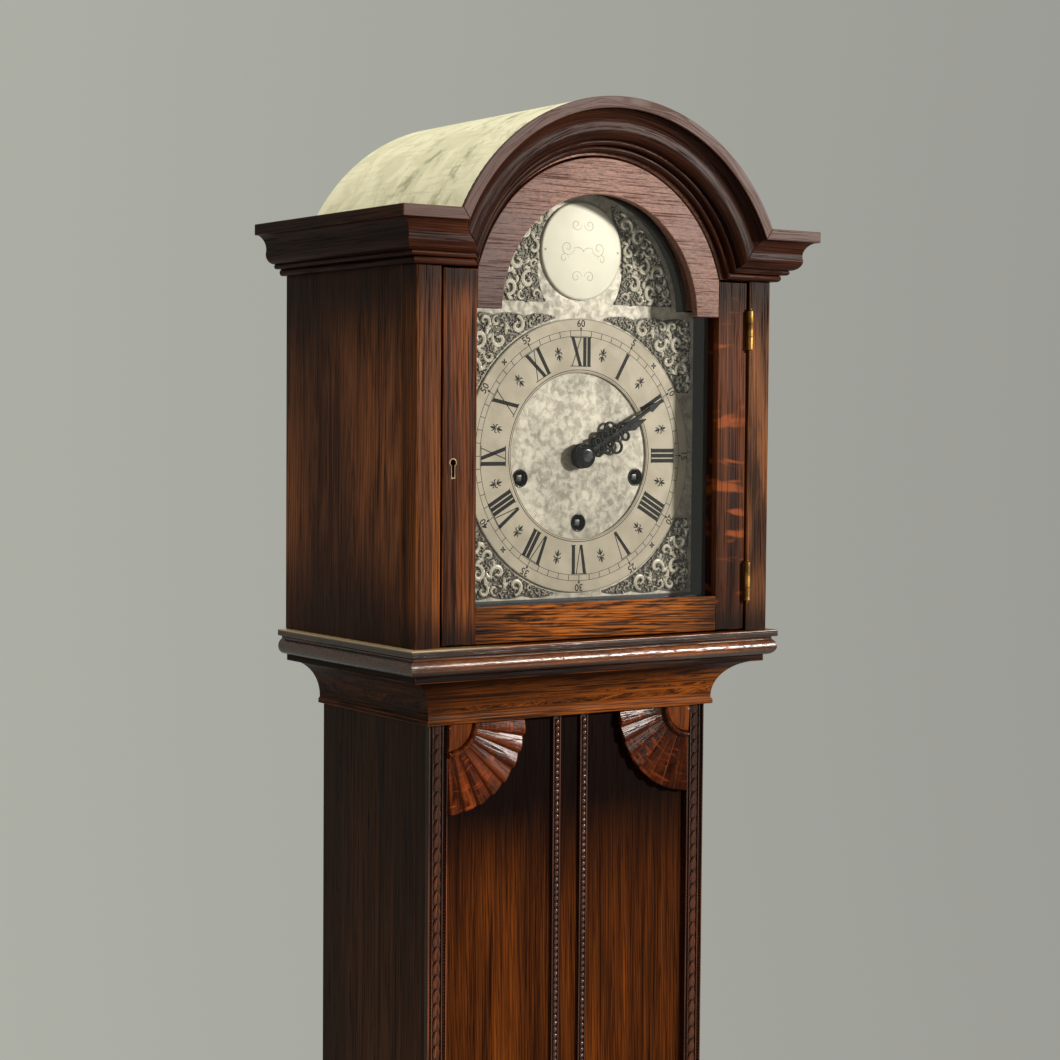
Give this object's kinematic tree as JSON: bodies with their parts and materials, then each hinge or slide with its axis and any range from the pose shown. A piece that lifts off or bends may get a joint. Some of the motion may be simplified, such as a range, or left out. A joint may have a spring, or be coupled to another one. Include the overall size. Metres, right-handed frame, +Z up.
{
  "type": "longcase clock",
  "caption": "Narrow oak longcase clock with an arched glazed hood, silvered break-arch dial, chiming spring movement and pendulum.",
  "frame": {"origin": "on the floor, under the middle of the overall width and depth", "axes": "+Z up the case, +X to the right seen from the front, the dial and door face -Y"},
  "size_m": [0.33, 0.192, 1.6],
  "materials": {
    "dark_oak": "dark stained oak, worn satin varnish",
    "deal": "plain stained softwood, unpolished",
    "roof_paint": "thin board painted mottled cream and pale green",
    "black_board": "board stained near black",
    "glass": "clear sheet glass",
    "dial_silver": "silvered brass, matted centre, black-filled engraving",
    "spandrel_metal": "cast and silvered, dark in the hollows",
    "brass": "lacquered brass",
    "black_steel": "blued and blacked steel",
    "steel": "bright steel",
    "cast_iron": "black-painted casting"
  },
  "bodies": {
    "case": {"arch_boss": "dial_silver", "back_board": "deal", "back_cock": "brass", "back_plate": "brass", "beaded_strips": "dark_oak", "bed_moulding": "dark_oak", "carved_edge_strips": "dark_oak", "chapter_ring": "dial_silver", "cornice_arch": "dark_oak", "cornice_straights": "dark_oak", "cove_moulding": "dark_oak", "dial_feet": "brass", "dial_mask": "black_board", "dial_plate": "dial_silver", "dial_spandrels": "spandrel_metal", "fan_carvings": "dark_oak", "frame_hinge_leaves": "brass", "front_plate": "brass", "going_train": "brass", "gong_block": "cast_iron", "gong_rods": "steel", "hammer_rail": "brass", "hood_arch_boards": "deal", "hood_base_rails": "deal", "hood_front_stiles": "dark_oak", "hood_side_panels": "dark_oak", "hood_top_boards": "deal", "movement_pillars": "brass", "plinth_panels": "dark_oak", "plinth_skirting": "dark_oak", "ratchet_clicks": "steel", "roof_barrel": "roof_paint", "seat_board": "deal", "spring_barrels": "brass", "trunk_front_panel": "dark_oak", "trunk_side_panels": "dark_oak", "waist_moulding": "dark_oak"},
    "hood_door": {"door_stiles": "dark_oak", "door_rails": "dark_oak", "door_glass": "glass", "door_lock": "brass", "door_hinge_leaves": "brass"},
    "lock_bolt": {"lock_bolt": "steel"},
    "rear_door": {"rear_door": "deal", "rear_hinge_leaves": "brass"},
    "turn_button": {"turn_button": "deal"},
    "minute_hand": {"cannon_pinion": "brass", "minute_hand": "black_steel", "hand_nut": "black_steel"},
    "minute_wheel": {"minute_wheel": "brass"},
    "hour_hand": {"hour_wheel": "brass", "hour_hand": "black_steel"},
    "winding_strike": {"winding_arbor_strike": "steel"},
    "winding_going": {"winding_arbor_going": "steel"},
    "winding_chime": {"winding_arbor_chime": "steel"},
    "pendulum": {"pendulum_rod": "steel", "pendulum_bob": "brass"},
    "rating_nut": {"rating_nut": "brass"},
    "anchor": {"anchor_and_crutch": "steel"},
    "hammers": {"chime_hammers": "brass"}
  },
  "joints": [
    {"name": "hood_door_swing", "type": "hinge", "parent": "case", "child": "hood_door", "pos_m": [0.1218, -0.0744, 1.371], "axis": [0, 0, 1], "range_deg": [0, 100]},
    {"name": "lock_bolt_throw", "type": "slide", "parent": "hood_door", "child": "lock_bolt", "axis": [-1, 0, 0], "range_m": [0, 0.006]},
    {"name": "rear_door_swing", "type": "hinge", "parent": "case", "child": "rear_door", "pos_m": [0.1246, 0.0934, 1.371], "axis": [0, 0, -1], "range_deg": [0, 90]},
    {"name": "turn_button_turn", "type": "hinge", "parent": "case", "child": "turn_button", "pos_m": [-0.0635, 0.091, 1.282], "axis": [0, 1, 0], "range_deg": [0, 90]},
    {"name": "minute_hand_turn", "type": "hinge", "parent": "case", "child": "minute_hand", "pos_m": [0, -0.0465, 1.371], "axis": [0, 1, 0], "continuous": true},
    {"name": "minute_wheel_turn", "type": "hinge", "parent": "case", "child": "minute_wheel", "pos_m": [-0.01414, -0.0465, 1.38514], "axis": [0, 1, 0], "continuous": true},
    {"name": "hour_hand_turn", "type": "hinge", "parent": "case", "child": "hour_hand", "pos_m": [0, -0.0465, 1.371], "axis": [0, 1, 0], "continuous": true},
    {"name": "winding_strike_turn", "type": "hinge", "parent": "case", "child": "winding_strike", "pos_m": [-0.0465, -0.0465, 1.3566], "axis": [0, 1, 0], "continuous": true},
    {"name": "winding_going_turn", "type": "hinge", "parent": "case", "child": "winding_going", "pos_m": [0, -0.0465, 1.327], "axis": [0, 1, 0], "continuous": true},
    {"name": "winding_chime_turn", "type": "hinge", "parent": "case", "child": "winding_chime", "pos_m": [0.0465, -0.0465, 1.3566], "axis": [0, 1, 0], "continuous": true},
    {"name": "pendulum_swing", "type": "hinge", "parent": "case", "child": "pendulum", "pos_m": [0, 0.0495, 1.42961], "axis": [0, 1, 0], "range_deg": [-3.5, 3.5]},
    {"name": "rating_nut_turn", "type": "hinge", "parent": "pendulum", "child": "rating_nut", "pos_m": [0, 0.0495, 1.13961], "axis": [0, 0, 1], "continuous": true},
    {"name": "anchor_rock", "type": "hinge", "parent": "case", "child": "anchor", "pos_m": [0, 0.0495, 1.42961], "axis": [0, 1, 0], "range_deg": [-3.5, 3.5]},
    {"name": "hammers_strike", "type": "hinge", "parent": "case", "child": "hammers", "pos_m": [0.05, 0.0435, 1.297], "axis": [1, 0, 0], "range_deg": [-15, 2]}
  ],
  "couplings": [
    {"joint": "minute_wheel_turn", "follows": "minute_hand_turn", "ratio": -0.33333},
    {"joint": "hour_hand_turn", "follows": "minute_hand_turn", "ratio": 0.083333},
    {"joint": "anchor_rock", "follows": "pendulum_swing", "ratio": 1}
  ]
}
